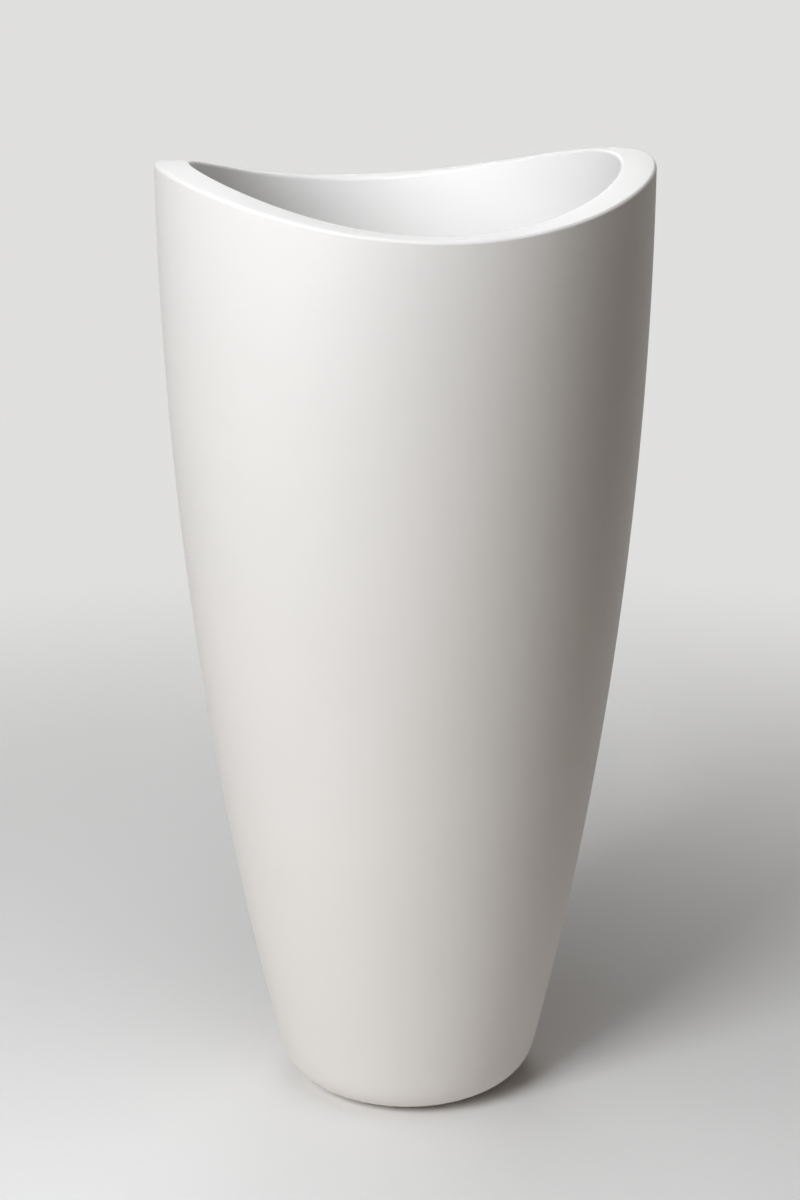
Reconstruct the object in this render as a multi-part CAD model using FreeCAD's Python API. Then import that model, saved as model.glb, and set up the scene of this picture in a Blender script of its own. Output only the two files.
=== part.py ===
import FreeCAD, Part
import math
import os

# A tall floor planter: a moulded shell whose rim rises to two tips and dips between them, and a lift-out
# liner with a water reservoir. Millimetres, +Z up, origin on the floor under the centre. The rim's tips lie
# on the X axis and its dips on the Y axis.

# Shell
TIP_HEIGHT = 800.0           # floor to the rim's two tips
RIM_DIP = 37.0               # tips down to the two dips
TOP_RADIUS = 200.0           # outside of the rim at the tips
BASE_RADIUS = 105.0          # where the side's arc would meet the underside
SIDE_BULGE = 24.0            # how far the side's arc bows out from its chord
BASE_CORNER_RADIUS = 41.0    # rounding between the side and the underside
SHELL_WALL = 5.0
RIM_WIDTH = 28.5             # land on top of the rim, level towards the middle
LIP_RADIUS = 5.5             # rounding of the land's two edges
COLLAR_DEPTH = 78.0          # dips of the rim down to the ledge that carries the liner
LEDGE_WIDTH = 11.0
DRAIN_RADIUS = 12.0

# Foot pads
PAD_COUNT = 4
PAD_RADIUS = 10.0
PAD_THICKNESS = 4.0
PAD_PROUD = 2.0              # gap that the pads leave between the underside and the floor
PAD_INSET = 10.0             # pad's edge to the edge of the flat underside
PAD_CLEARANCE = 0.2

# Base plug
PLUG_CLEARANCE = 0.3
PLUG_RECESS = 1.0            # plug's end above the shell's underside
PLUG_HEAD_OVERLAP = 6.0
PLUG_HEAD_THICKNESS = 4.0
GRIP_THICKNESS = 5.0
GRIP_WIDTH = 20.0
GRIP_HEIGHT = 14.0

# Liner
LINER_DEPTH = 330.0          # ledge down to the liner's underside
LINER_CORNER = 12.0          # slope between its side and its underside
LINER_WALL = 2.5
LINER_FLOOR = 3.0
LINER_CLEARANCE = 1.5        # all round, in the collar and in the ledge
LINER_FOOT_GAP = 6.0         # least gap to the shell's side at the liner's underside
LINER_STEP = 8.0             # inward step of its side that carries the separator
FLANGE_THICKNESS = 3.0
LUG_THICKNESS = 5.5
LUG_WIDTH = 40.0
LUG_COVER = 3.0              # plastic above a trunnion's bore

# Bails
BAIL_WIDTH = 8.0
BAIL_HEIGHT = 7.0
BAIL_OFFSET = 10.0           # trunnion's axis to the X axis
BAIL_SIDE_GAP = 0.5
BAIL_SEAT_GAP = 0.3
TRUNNION_RADIUS = 2.5
TRUNNION_CLEARANCE = 0.2
TRUNNION_SETBACK = 1.0       # trunnion's end inside the lug's outer face

# Separator and wick cup
RESERVOIR_HEIGHT = 70.0      # liner's floor up to the separator
SEPARATOR_THICKNESS = 3.0
SEPARATOR_CLEARANCE = 0.6
SLOT_WIDTH = 4.0
SLOT_LENGTH = 24.0
SLOT_RING_SHARES = (0.29, 0.73)          # of the way from the cup's flange to the liner's step
SLOT_COUNTS = (12, 18)
SLOT_MARGIN = 5.0            # plate left between a slot and the tube
CUP_RADIUS = 40.0
CUP_WALL = 2.0
CUP_FLANGE = 5.0
CUP_FLANGE_THICKNESS = 2.0
CUP_FLOOR_GAP = 2.0
CUP_CLEARANCE = 0.3
CUP_SLOT_COUNT = 8
CUP_SLOT_WIDTH = 4.0
CUP_SLOT_HEIGHT = 40.0
CUP_SLOT_RISE = 10.0

# Fill tube, cap and gauge
TUBE_GAP = 18.5              # tube to the liner's wall round the reservoir
TUBE_RADIUS = 14.0
TUBE_WALL = 2.0
TUBE_RISE = 12.0             # above the liner's flange
TUBE_CLEARANCE = 0.3
INLET_COUNT = 4
INLET_WIDTH = 6.0
INLET_HEIGHT = 10.0
CAP_WALL = 2.0
CAP_TOP = 3.0
CAP_SKIRT = 10.0
CAP_CLEARANCE = 0.3
FLOAT_CLEARANCE = 0.8
FLOAT_LENGTH = 30.0
FLOAT_SEAT_GAP = 0.3
ROD_RADIUS = 3.0
ROD_CLEARANCE = 0.4
ROD_RISE = 4.0               # rod's tip above the cap, with the reservoir empty

# Construction
OVERRUN = 10.0               # how far cuts run past what they cut
LIP_ENTRY_ANGLE = math.radians(8.0)      # at which a lip's arc crosses the wall below it
LIP_ARCS = 3
SIDE_ARCS = 5
INSIDE_STEPS = 4             # straight tapers of the shell's inside
QUARTERS = 4

# Levels and radii that several pieces share
UNDERSIDE = PAD_PROUD
SHELL_FLOOR = UNDERSIDE + SHELL_WALL

# The side is one arc in section, tangent to the arc of the base corner.
HALF_CHORD = math.hypot(TIP_HEIGHT - UNDERSIDE, TOP_RADIUS - BASE_RADIUS) / 2
SIDE_RADIUS = (HALF_CHORD ** 2 + SIDE_BULGE ** 2) / (2 * SIDE_BULGE)
CHORD_LEAN = math.atan2(TOP_RADIUS - BASE_RADIUS, TIP_HEIGHT - UNDERSIDE)
SIDE_CENTRE = (
    (BASE_RADIUS + TOP_RADIUS) / 2 - (SIDE_RADIUS - SIDE_BULGE) * math.cos(CHORD_LEAN),
    (UNDERSIDE + TIP_HEIGHT) / 2 + (SIDE_RADIUS - SIDE_BULGE) * math.sin(CHORD_LEAN),
)
CORNER_HEIGHT = UNDERSIDE + BASE_CORNER_RADIUS
CORNER_LEAN = math.asin((CORNER_HEIGHT - SIDE_CENTRE[1]) / (SIDE_RADIUS - BASE_CORNER_RADIUS))
FLAT_RADIUS = SIDE_CENTRE[0] + (SIDE_RADIUS - BASE_CORNER_RADIUS) * math.cos(CORNER_LEAN)
CORNER_CENTRE = (FLAT_RADIUS, CORNER_HEIGHT)
PAD_CIRCLE_RADIUS = FLAT_RADIUS - PAD_INSET - PAD_RADIUS

LEDGE_LEVEL = TIP_HEIGHT - RIM_DIP - COLLAR_DEPTH
COLLAR_RADIUS = TOP_RADIUS - RIM_WIDTH
LEDGE_RADIUS = COLLAR_RADIUS - LEDGE_WIDTH
FLANGE_TOP = LEDGE_LEVEL + FLANGE_THICKNESS
FLANGE_RADIUS = COLLAR_RADIUS - LINER_CLEARANCE
LINER_UNDERSIDE = LEDGE_LEVEL - LINER_DEPTH
FOOT_DROP = SIDE_CENTRE[1] - LINER_UNDERSIDE
FOOT_ROOM = SIDE_CENTRE[0] + math.sqrt((SIDE_RADIUS - SHELL_WALL) ** 2 - FOOT_DROP ** 2)
LINER_RADIUS = min(LEDGE_RADIUS - LINER_CLEARANCE, FOOT_ROOM - LINER_FOOT_GAP)
LINER_BORE = LINER_RADIUS - LINER_WALL
RESERVOIR_RADIUS = LINER_BORE - LINER_STEP
LINER_INSIDE = LINER_UNDERSIDE + LINER_FLOOR
LUG_FACE = FLANGE_RADIUS - LUG_THICKNESS
BAIL_RADIUS = LUG_FACE - BAIL_SIDE_GAP
BAIL_LEVEL = FLANGE_TOP + BAIL_SEAT_GAP + BAIL_HEIGHT / 2
SEPARATOR_LEVEL = LINER_INSIDE + RESERVOIR_HEIGHT
SEPARATOR_TOP = SEPARATOR_LEVEL + SEPARATOR_THICKNESS
TUBE_TOP = FLANGE_TOP + TUBE_RISE
TUBE_BORE = TUBE_RADIUS - TUBE_WALL

CENTRE = FreeCAD.Vector(0, 0, 0)
UP = FreeCAD.Vector(0, 0, 1)
ALONG_X = FreeCAD.Vector(1, 0, 0)
TUBE_CENTRE = FreeCAD.Vector(0, TUBE_GAP + TUBE_RADIUS - RESERVOIR_RADIUS, 0)


def section_point(radius, height):
    """Point of a turned section."""
    return FreeCAD.Vector(radius, 0, height)


def turned(points):
    """Solid of revolution of a closed outline of (radius, height) points."""
    corners = [section_point(radius, height) for radius, height in points]
    return Part.Face(Part.makePolygon(corners + corners[:1])).revolve(CENTRE, UP, 360)


def cylinder(radius, bottom, top):
    return Part.makeCylinder(radius, top - bottom, section_point(0, bottom))


def ring(inner, outer, bottom, top):
    return cylinder(outer, bottom, top).cut(cylinder(inner, bottom - OVERRUN, top + OVERRUN))


def block(low, high):
    """Box between two corners."""
    size = high - low
    return Part.makeBox(size.x, size.y, size.z, low)


def turned_copies(shape, count):
    """Copies of a shape, evenly spaced about the Z axis."""
    copies = []
    for index in range(count):
        copy = shape.copy()
        copy.rotate(CENTRE, UP, 360 * index / count)
        copies.append(copy)
    return copies


def on_arc(centre, radius, angle):
    """(radius, height) of a point on an arc of a section."""
    return centre[0] + radius * math.cos(angle), centre[1] + radius * math.sin(angle)


def steps(start, end, count):
    """Evenly spaced values from start to end, both included."""
    return [start + (end - start) * index / count for index in range(count + 1)]


def arc_edge(centre, radius, start, end):
    angles = (start, (start + end) / 2, end)
    return Part.Arc(*[section_point(*on_arc(centre, radius, angle)) for angle in angles]).toShape()


def shell_outside():
    """Outer form of the shell, up past the rim."""
    top = TIP_HEIGHT + OVERRUN
    top_lean = math.asin((top - SIDE_CENTRE[1]) / SIDE_RADIUS)
    edges = [
        Part.makeLine(section_point(0, UNDERSIDE), section_point(FLAT_RADIUS, UNDERSIDE)),
        arc_edge(CORNER_CENTRE, BASE_CORNER_RADIUS, -math.pi / 2, CORNER_LEAN),
    ]
    leans = steps(CORNER_LEAN, top_lean, SIDE_ARCS)
    for start, end in zip(leans, leans[1:]):
        edges.append(arc_edge(SIDE_CENTRE, SIDE_RADIUS, start, end))
    edges.append(Part.makeLine(edges[-1].Vertexes[-1].Point, section_point(0, top)))
    edges.append(Part.makeLine(section_point(0, top), section_point(0, UNDERSIDE)))
    return Part.Face(Part.Wire(edges)).revolve(CENTRE, UP, 360)


def shell_inside():
    """Hollow of the shell: straight tapers that touch the wall's inner arc, up past the rim."""
    top = TIP_HEIGHT + OVERRUN
    inner_side = SIDE_RADIUS - SHELL_WALL
    inner_corner = BASE_CORNER_RADIUS - SHELL_WALL
    top_lean = math.asin((top - SIDE_CENTRE[1]) / inner_side)
    points = [(0, SHELL_FLOOR), (FLAT_RADIUS, SHELL_FLOOR)]
    points.append(on_arc(CORNER_CENTRE, inner_corner, (CORNER_LEAN - math.pi / 2) / 2))
    points += [on_arc(SIDE_CENTRE, inner_side, lean) for lean in steps(CORNER_LEAN, top_lean, INSIDE_STEPS)]
    return turned(points + [(0, top)])


def product(first, second):
    """Bezier values of the product of two quadratics, given by their Bezier values."""
    a, b, c = first
    d, e, f = second
    return [a * d, (a * e + b * d) / 2, (a * f + 4 * b * e + c * d) / 6, (b * f + c * e) / 2, c * f]


def saddle_quarter(quarter):
    """Quarter turn as a rational curve: x and y on a unit circle, share of the dip, and weight."""
    half = math.pi / QUARTERS
    angles = [2 * half * quarter, 2 * half * quarter + half, 2 * half * quarter + 2 * half]
    weight = [1, math.cos(half), 1]
    cosine = [math.cos(angle) for angle in angles]
    sine = [math.sin(angle) for angle in angles]
    weights = product(weight, weight)
    values = zip(product(cosine, weight), product(sine, weight), product(sine, sine), weights)
    return [(x / w, y / w, dip / w, w) for x, y, dip, w in values]


def straight(start, end):
    """Straight edge of a saddle section, as (radius, height, weight) poles."""
    return [(*start, 1), (*end, 1)]


def rounded(centre, radius, start, end):
    """Arc of a saddle section, as (radius, height, weight) poles."""
    half = (end - start) / 2
    middle = on_arc(centre, radius / math.cos(half), (start + end) / 2)
    return [(*on_arc(centre, radius, start), 1), (*middle, math.cos(half)), (*on_arc(centre, radius, end), 1)]


def saddle_face(edge, quarter):
    """Face that an edge sweeps in a quarter turn about Z while it sinks and rises with the rim."""
    turn = saddle_quarter(quarter)
    poles = []
    weights = []
    for x, y, dip, turn_weight in turn:
        poles.append([FreeCAD.Vector(r * x, r * y, z - RIM_DIP * dip) for r, z, _ in edge])
        weights.append([turn_weight * weight for _, _, weight in edge])
    surface = Part.BSplineSurface()
    ends = [0, 1]
    turn_ends = [len(turn)] * 2
    edge_ends = [len(edge)] * 2
    surface.buildFromPolesMultsKnots(
        poles, turn_ends, edge_ends, ends, ends, False, False, len(turn) - 1, len(edge) - 1, weights
    )
    return surface.toShape()


def saddle_solid(edges):
    """Solid that a closed section sweeps round the rim, written at the height of the tips."""
    faces = [saddle_face(edge, quarter) for edge in edges for quarter in range(QUARTERS)]
    solid = Part.Solid(Part.Shell(faces))
    if solid.Volume < 0:
        solid.reverse()
    return solid


def above_land():
    """All that lies above the finished rim: its land and its two rounded lips."""
    top = TIP_HEIGHT + RIM_DIP + OVERRUN
    level = TIP_HEIGHT - LIP_RADIUS
    outer = (TOP_RADIUS - LIP_RADIUS, level)
    inner = (COLLAR_RADIUS + LIP_RADIUS, level)
    outer_angles = steps(LIP_ENTRY_ANGLE, math.pi / 2, LIP_ARCS)
    inner_angles = steps(math.pi / 2, math.pi - LIP_ENTRY_ANGLE, LIP_ARCS)
    outer_start = on_arc(outer, LIP_RADIUS, outer_angles[0])
    inner_end = on_arc(inner, LIP_RADIUS, inner_angles[-1])
    fall = OVERRUN / math.tan(LIP_ENTRY_ANGLE)
    outer_foot = (outer_start[0] + OVERRUN, outer_start[1] - fall)
    inner_foot = (inner_end[0] - OVERRUN, inner_end[1] - fall)
    edges = [straight(outer_foot, outer_start)]
    edges += [rounded(outer, LIP_RADIUS, start, end) for start, end in zip(outer_angles, outer_angles[1:])]
    edges.append(straight((outer[0], TIP_HEIGHT), (inner[0], TIP_HEIGHT)))
    edges += [rounded(inner, LIP_RADIUS, start, end) for start, end in zip(inner_angles, inner_angles[1:])]
    edges.append(straight(inner_end, inner_foot))
    edges.append(straight(inner_foot, (inner_foot[0], top)))
    edges.append(straight((inner_foot[0], top), (outer_foot[0], top)))
    edges.append(straight((outer_foot[0], top), outer_foot))
    return saddle_solid(edges)


def above_land_underside():
    """All that lies above the underside of the rim's land."""
    level = TIP_HEIGHT - SHELL_WALL
    top = TIP_HEIGHT + RIM_DIP + OVERRUN
    inner = COLLAR_RADIUS - OVERRUN
    outer = TOP_RADIUS + OVERRUN
    corners = [(inner, level), (outer, level), (outer, top), (inner, top)]
    return saddle_solid([straight(*pair) for pair in zip(corners, corners[1:] + corners[:1])])


def pad_shapes(radius, bottom, top):
    """Round shapes at the places of the foot pads, between the tips and the dips of the rim."""
    pad = cylinder(radius, bottom, top)
    pad.translate(section_point(PAD_CIRCLE_RADIUS, 0))
    pad.rotate(CENTRE, UP, 360 / (2 * PAD_COUNT))
    return turned_copies(pad, PAD_COUNT)


def make_shell():
    """Outer wall, rim and inner collar with the liner's ledge, in one moulding."""
    top = TIP_HEIGHT + 2 * OVERRUN
    collar = cylinder(COLLAR_RADIUS + SHELL_WALL, LEDGE_LEVEL - SHELL_WALL, top)
    hollow = shell_inside().cut(above_land_underside()).cut(collar)
    shell = shell_outside().cut(cylinder(COLLAR_RADIUS, LEDGE_LEVEL, top)).cut(above_land()).cut(hollow)
    shell = shell.cut(cylinder(LEDGE_RADIUS, LEDGE_LEVEL - SHELL_WALL - OVERRUN, top))
    shell = shell.cut(cylinder(DRAIN_RADIUS, UNDERSIDE - OVERRUN, SHELL_FLOOR + OVERRUN))
    recess_top = UNDERSIDE + PAD_THICKNESS - PAD_PROUD
    return shell.cut(pad_shapes(PAD_RADIUS + PAD_CLEARANCE, UNDERSIDE - OVERRUN, recess_top))


def make_foot_pads():
    """Anti-slip pads, let into the underside and proud of it."""
    foot = UNDERSIDE - PAD_PROUD
    return Part.makeCompound(pad_shapes(PAD_RADIUS, foot, foot + PAD_THICKNESS))


def make_base_plug():
    """Stopper in the shell's drain hole, with a grip to pull it up by."""
    stem = DRAIN_RADIUS - PLUG_CLEARANCE
    head = DRAIN_RADIUS + PLUG_HEAD_OVERLAP
    head_top = SHELL_FLOOR + PLUG_HEAD_THICKNESS
    stopper = turned([
        (0, UNDERSIDE + PLUG_RECESS),
        (stem, UNDERSIDE + PLUG_RECESS),
        (stem, SHELL_FLOOR),
        (head, SHELL_FLOOR),
        (head, head_top),
        (0, head_top),
    ])
    grip = block(
        FreeCAD.Vector(-GRIP_WIDTH / 2, -GRIP_THICKNESS / 2, SHELL_FLOOR),
        FreeCAD.Vector(GRIP_WIDTH / 2, GRIP_THICKNESS / 2, head_top + GRIP_HEIGHT),
    )
    return stopper.fuse(grip)


def trunnion_bore(side):
    """Bores of the lugs for the bail on one side, +1 for +Y and -1 for -Y."""
    start = FreeCAD.Vector(-FLANGE_RADIUS - OVERRUN, side * BAIL_OFFSET, BAIL_LEVEL)
    radius = TRUNNION_RADIUS + TRUNNION_CLEARANCE
    return Part.makeCylinder(radius, 2 * (FLANGE_RADIUS + OVERRUN), start, ALONG_X)


def make_liner():
    """Planting pot with a step for the separator, a flange and two lugs for the bails."""
    upper = LINER_RADIUS
    lower = LINER_RADIUS - LINER_STEP
    body = turned([
        (0, LINER_UNDERSIDE),
        (lower - LINER_CORNER, LINER_UNDERSIDE),
        (lower, LINER_UNDERSIDE + LINER_CORNER),
        (lower, SEPARATOR_LEVEL - LINER_FLOOR),
        (upper, SEPARATOR_LEVEL - LINER_FLOOR),
        (upper, LEDGE_LEVEL),
        (FLANGE_RADIUS, LEDGE_LEVEL),
        (FLANGE_RADIUS, FLANGE_TOP),
        (LINER_BORE, FLANGE_TOP),
        (LINER_BORE, SEPARATOR_LEVEL),
        (RESERVOIR_RADIUS, SEPARATOR_LEVEL),
        (RESERVOIR_RADIUS, LINER_INSIDE + LINER_CORNER),
        (RESERVOIR_RADIUS - LINER_CORNER, LINER_INSIDE),
        (0, LINER_INSIDE),
    ])
    lug_top = BAIL_LEVEL + TRUNNION_RADIUS + TRUNNION_CLEARANCE + LUG_COVER
    lugs = block(
        FreeCAD.Vector(LUG_FACE, -LUG_WIDTH / 2, LEDGE_LEVEL),
        FreeCAD.Vector(FLANGE_RADIUS + OVERRUN, LUG_WIDTH / 2, lug_top),
    )
    lugs = Part.makeCompound(turned_copies(lugs, 2)).common(cylinder(FLANGE_RADIUS, LEDGE_LEVEL, lug_top))
    return body.fuse(lugs.Solids).removeSplitter().cut([trunnion_bore(1), trunnion_bore(-1)])


def make_bail(side):
    """Half-ring handle, folded down on the flange, with a trunnion at each end."""
    low = BAIL_LEVEL - BAIL_HEIGHT / 2
    high = BAIL_LEVEL + BAIL_HEIGHT / 2
    inner = BAIL_RADIUS - BAIL_WIDTH
    bow = ring(inner, BAIL_RADIUS, low, high)
    reach = BAIL_RADIUS + OVERRUN
    bow = bow.common(block(FreeCAD.Vector(-reach, BAIL_OFFSET, low), FreeCAD.Vector(reach, reach, high)))
    pieces = []
    for end in (1, -1):
        eye_foot = FreeCAD.Vector(end * inner, BAIL_OFFSET, BAIL_LEVEL)
        eye_length = math.sqrt(BAIL_RADIUS ** 2 - BAIL_OFFSET ** 2) - inner
        pieces.append(Part.makeCylinder(BAIL_HEIGHT / 2, eye_length, eye_foot, ALONG_X * end))
        trunnion_length = FLANGE_RADIUS - TRUNNION_SETBACK - inner
        pieces.append(Part.makeCylinder(TRUNNION_RADIUS, trunnion_length, eye_foot, ALONG_X * end))
    bail = bow.fuse(pieces).removeSplitter()
    if side < 0:
        bail.rotate(CENTRE, UP, 180)
    return bail


def slot_is_clear(slot):
    """Whether a slot leaves enough plate between it and the tube."""
    middle = slot.CenterOfMass
    reach = TUBE_RADIUS + SLOT_LENGTH / 2 + SLOT_MARGIN
    return math.hypot(middle.x - TUBE_CENTRE.x, middle.y - TUBE_CENTRE.y) > reach


def make_separator():
    """Slotted plate on the liner's step, with the cup and the tube through it."""
    low = SEPARATOR_LEVEL - OVERRUN
    high = SEPARATOR_TOP + OVERRUN
    tube_hole = cylinder(TUBE_RADIUS + TUBE_CLEARANCE, low, high)
    tube_hole.translate(TUBE_CENTRE)
    cuts = [cylinder(CUP_RADIUS + CUP_CLEARANCE, low, high), tube_hole]
    cup_edge = CUP_RADIUS + CUP_FLANGE
    for share, count in zip(SLOT_RING_SHARES, SLOT_COUNTS):
        radius = cup_edge + (RESERVOIR_RADIUS - cup_edge) * share
        slot = block(
            FreeCAD.Vector(radius - SLOT_LENGTH / 2, -SLOT_WIDTH / 2, low),
            FreeCAD.Vector(radius + SLOT_LENGTH / 2, SLOT_WIDTH / 2, high),
        )
        cuts += [copy for copy in turned_copies(slot, count) if slot_is_clear(copy)]
    return cylinder(LINER_BORE - SEPARATOR_CLEARANCE, SEPARATOR_LEVEL, SEPARATOR_TOP).cut(cuts)


def make_wick_cup():
    """Slotted cup of soil that hangs through the separator into the water."""
    foot = LINER_INSIDE + CUP_FLOOR_GAP
    top = SEPARATOR_TOP + CUP_FLANGE_THICKNESS
    cup = turned([
        (0, foot),
        (CUP_RADIUS, foot),
        (CUP_RADIUS, SEPARATOR_TOP),
        (CUP_RADIUS + CUP_FLANGE, SEPARATOR_TOP),
        (CUP_RADIUS + CUP_FLANGE, top),
        (CUP_RADIUS - CUP_WALL, top),
        (CUP_RADIUS - CUP_WALL, foot + CUP_WALL),
        (0, foot + CUP_WALL),
    ])
    slot = block(
        FreeCAD.Vector(0, -CUP_SLOT_WIDTH / 2, foot + CUP_SLOT_RISE),
        FreeCAD.Vector(CUP_RADIUS + OVERRUN, CUP_SLOT_WIDTH / 2, foot + CUP_SLOT_RISE + CUP_SLOT_HEIGHT),
    )
    return cup.cut(turned_copies(slot, CUP_SLOT_COUNT))


def make_fill_tube():
    """Tube that stands on the liner's floor, with inlets at its foot."""
    tube = ring(TUBE_BORE, TUBE_RADIUS, LINER_INSIDE, TUBE_TOP)
    inlet = block(
        FreeCAD.Vector(0, -INLET_WIDTH / 2, LINER_INSIDE - OVERRUN),
        FreeCAD.Vector(TUBE_RADIUS + OVERRUN, INLET_WIDTH / 2, LINER_INSIDE + INLET_HEIGHT),
    )
    tube = tube.cut(turned_copies(inlet, INLET_COUNT))
    tube.translate(TUBE_CENTRE)
    return tube


def make_tube_cap():
    """Cap that slips over the tube's end, with the gauge's rod through it."""
    bore = TUBE_RADIUS + CAP_CLEARANCE
    rod_hole = ROD_RADIUS + ROD_CLEARANCE
    cap = turned([
        (bore, TUBE_TOP - CAP_SKIRT),
        (bore + CAP_WALL, TUBE_TOP - CAP_SKIRT),
        (bore + CAP_WALL, TUBE_TOP + CAP_TOP),
        (rod_hole, TUBE_TOP + CAP_TOP),
        (rod_hole, TUBE_TOP),
        (bore, TUBE_TOP),
    ])
    cap.translate(TUBE_CENTRE)
    return cap


def make_gauge_float():
    """Float that rides in the tube, with the rod that shows the water's level above the cap."""
    radius = TUBE_BORE - FLOAT_CLEARANCE
    foot = LINER_INSIDE + FLOAT_SEAT_GAP
    tip = TUBE_TOP + CAP_TOP + ROD_RISE
    gauge = turned([
        (0, foot),
        (radius, foot),
        (radius, foot + FLOAT_LENGTH),
        (ROD_RADIUS, foot + FLOAT_LENGTH),
        (ROD_RADIUS, tip),
        (0, tip),
    ])
    gauge.translate(TUBE_CENTRE)
    return gauge


NODES = {
    "shell": make_shell(),
    "foot_pads": make_foot_pads(),
    "base_plug": make_base_plug(),
    "liner": make_liner(),
    "front_bail": make_bail(-1),
    "rear_bail": make_bail(1),
    "separator": make_separator(),
    "wick_cup": make_wick_cup(),
    "fill_tube": make_fill_tube(),
    "tube_cap": make_tube_cap(),
    "gauge_float": make_gauge_float(),
}

os.makedirs("parts", exist_ok=True)
for name, shape in NODES.items():
    shape.exportStep(os.path.join("parts", name + ".step"))
    print(name, len(shape.Solids), shape.isValid(), round(shape.Volume))
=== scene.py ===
"""Tall floor planter with a saddle-shaped rim, dressed for a plain studio."""

import logging
import math
from dataclasses import dataclass, field
from enum import Enum
from typing import Iterable

import bmesh
import bpy
from bmesh.types import BMesh
from bpy.types import Material, Node, NodeSocket, NodeTree, Object
from mathutils import Matrix, Vector

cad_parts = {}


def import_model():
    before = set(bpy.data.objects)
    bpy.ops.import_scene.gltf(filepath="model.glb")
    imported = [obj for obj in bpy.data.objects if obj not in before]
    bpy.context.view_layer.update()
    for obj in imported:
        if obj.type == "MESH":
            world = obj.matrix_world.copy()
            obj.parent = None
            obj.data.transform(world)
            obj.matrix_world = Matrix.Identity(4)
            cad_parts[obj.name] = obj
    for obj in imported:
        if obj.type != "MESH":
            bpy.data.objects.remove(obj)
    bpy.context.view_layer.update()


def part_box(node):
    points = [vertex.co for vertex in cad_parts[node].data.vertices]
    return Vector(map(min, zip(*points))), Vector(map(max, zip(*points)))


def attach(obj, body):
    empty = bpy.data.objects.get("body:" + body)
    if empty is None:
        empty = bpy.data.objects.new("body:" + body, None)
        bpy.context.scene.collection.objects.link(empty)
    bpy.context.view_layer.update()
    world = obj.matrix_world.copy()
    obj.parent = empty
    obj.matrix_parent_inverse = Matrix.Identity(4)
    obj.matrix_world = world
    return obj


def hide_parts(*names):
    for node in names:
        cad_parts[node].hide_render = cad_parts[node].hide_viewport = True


Colour = tuple[float, float, float]
Place = tuple[float, float]
Point = tuple[float, float, float]

LOG = logging.getLogger("planter")
MM = 0.001
FULL_TURN = 2.0 * math.pi
QUARTER_TURN = math.pi / 2.0

# Steps in a full turn, from the widest pieces to the round ends of a slot
SHELL_STEPS = 192
ROUND_STEPS = 144
TUBE_STEPS = 96
STEM_STEPS = 64
PIN_STEPS = 32
PILL_STEPS = 10

# Points closer than this many metres are one point
MERGE_DISTANCE = 1e-7
# Millimetres that a cut reaches past what it cuts
OVERRUN = 5.0
# Radians between the last point of one arc and the first of the arc that goes on from it
ARC_GAP = 0.01

# Clouding and grain that all moulded finishes share
CLOUD_SCALE = 7.0
CLOUD_DETAIL = 4.0
CLOUD_SPAN = (0.3, 0.7)
GRAIN_DETAIL = 2.0
GRAIN_STRENGTH = 0.5


class Grain(Enum):
    """Scale of the texture that a mould leaves on plastic or rubber."""

    FINE = 900.0
    MEDIUM = 420.0
    COARSE = 180.0


class Join(Enum):
    """Way that one closed shape meets another."""

    CUT = "DIFFERENCE"
    FUSE = "UNION"


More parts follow.
